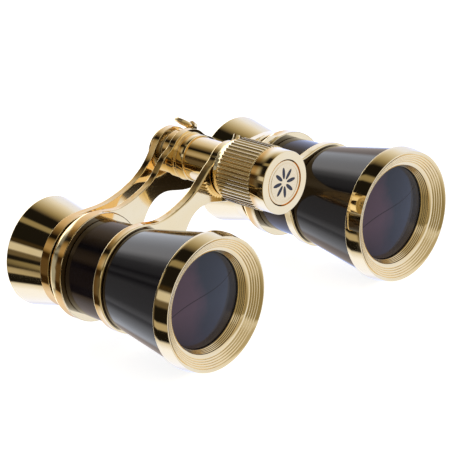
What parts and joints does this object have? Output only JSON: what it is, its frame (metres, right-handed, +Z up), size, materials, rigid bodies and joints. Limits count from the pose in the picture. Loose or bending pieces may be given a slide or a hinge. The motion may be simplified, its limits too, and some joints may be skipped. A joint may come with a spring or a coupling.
{
  "type": "opera glasses",
  "caption": "Galilean opera glasses: black conical barrels in gold-plated bezels and eyecups, joined by arched bridges on a central focusing tube with a fluted knob.",
  "frame": {"origin": "bottom centre of the whole instrument at rest, under the focus axis, halfway between the objective rims and the eyecup rims", "axes": "+X across the two barrels to the user's right, +Y the way the glasses look (objectives in front), +Z up"},
  "size_m": [0.1044, 0.0592, 0.0444],
  "materials": {
    "polished_gold": "mirror-polished pale gold plating on brass",
    "black_enamel": "deep gloss black stove enamel",
    "blackened_metal": "matt black anodised, against stray light",
    "coated_glass": "polished optical glass with a violet-blue coating",
    "bearing_brass": "plain turned brass, lightly greased",
    "bright_steel": "fine-turned bright steel"
  },
  "bodies": {
    "frame": {"front_bridge": "polished_gold", "rear_bridge": "polished_gold", "centre_tube": "polished_gold", "tube_collar": "polished_gold", "spindle_bush": "bearing_brass", "thrust_washer": "bearing_brass", "front_hub_screw": "polished_gold", "strap_lug": "polished_gold", "right_objective_bezel": "polished_gold", "right_objective_crown": "coated_glass", "right_objective_flint": "coated_glass", "right_objective_cell_ring": "blackened_metal", "right_barrel_tube": "blackened_metal", "right_front_sleeve": "black_enamel", "right_rear_sleeve": "black_enamel", "right_barrel_lock_ring": "polished_gold", "left_objective_bezel": "polished_gold", "left_objective_crown": "coated_glass", "left_objective_flint": "coated_glass", "left_objective_cell_ring": "blackened_metal", "left_barrel_tube": "blackened_metal", "left_front_sleeve": "black_enamel", "left_rear_sleeve": "black_enamel", "left_barrel_lock_ring": "polished_gold"},
    "eyepiece_carriage": {"eyepiece_bridge": "polished_gold", "plunger_tube": "bright_steel", "focus_nut": "bearing_brass", "bridge_cap_screw": "polished_gold", "right_draw_tube": "polished_gold", "right_eyecup": "polished_gold", "right_eye_lens": "coated_glass", "right_eye_lens_ring": "blackened_metal", "left_draw_tube": "polished_gold", "left_eyecup": "polished_gold", "left_eye_lens": "coated_glass", "left_eye_lens_ring": "blackened_metal"},
    "focus_wheel": {"focus_knob": "polished_gold", "knob_badge": "polished_gold", "knob_screw": "bright_steel", "focus_spindle": "bright_steel", "spindle_stop": "bright_steel"},
    "strap_ring": {"strap_ring": "polished_gold"}
  },
  "joints": [
    {"name": "focus_wheel_turn", "type": "hinge", "parent": "frame", "child": "focus_wheel", "pos_m": [0, 0.0121, 0.0361], "axis": [0, 1, 0], "range_deg": [-36.5, 474.5]},
    {"name": "focus_slide", "type": "slide", "parent": "frame", "child": "eyepiece_carriage", "axis": [0, -1, 0], "range_m": [-0.0006, 0.0079]},
    {"name": "strap_ring_swing", "type": "hinge", "parent": "frame", "child": "strap_ring", "pos_m": [-0.00465, -0.01425, 0.04205], "axis": [-0.788, 0, -0.6157], "range_deg": [0, 150]}
  ],
  "couplings": [
    {"joint": "focus_wheel_turn", "follows": "focus_slide", "rad_per_m": 1047.2}
  ]
}
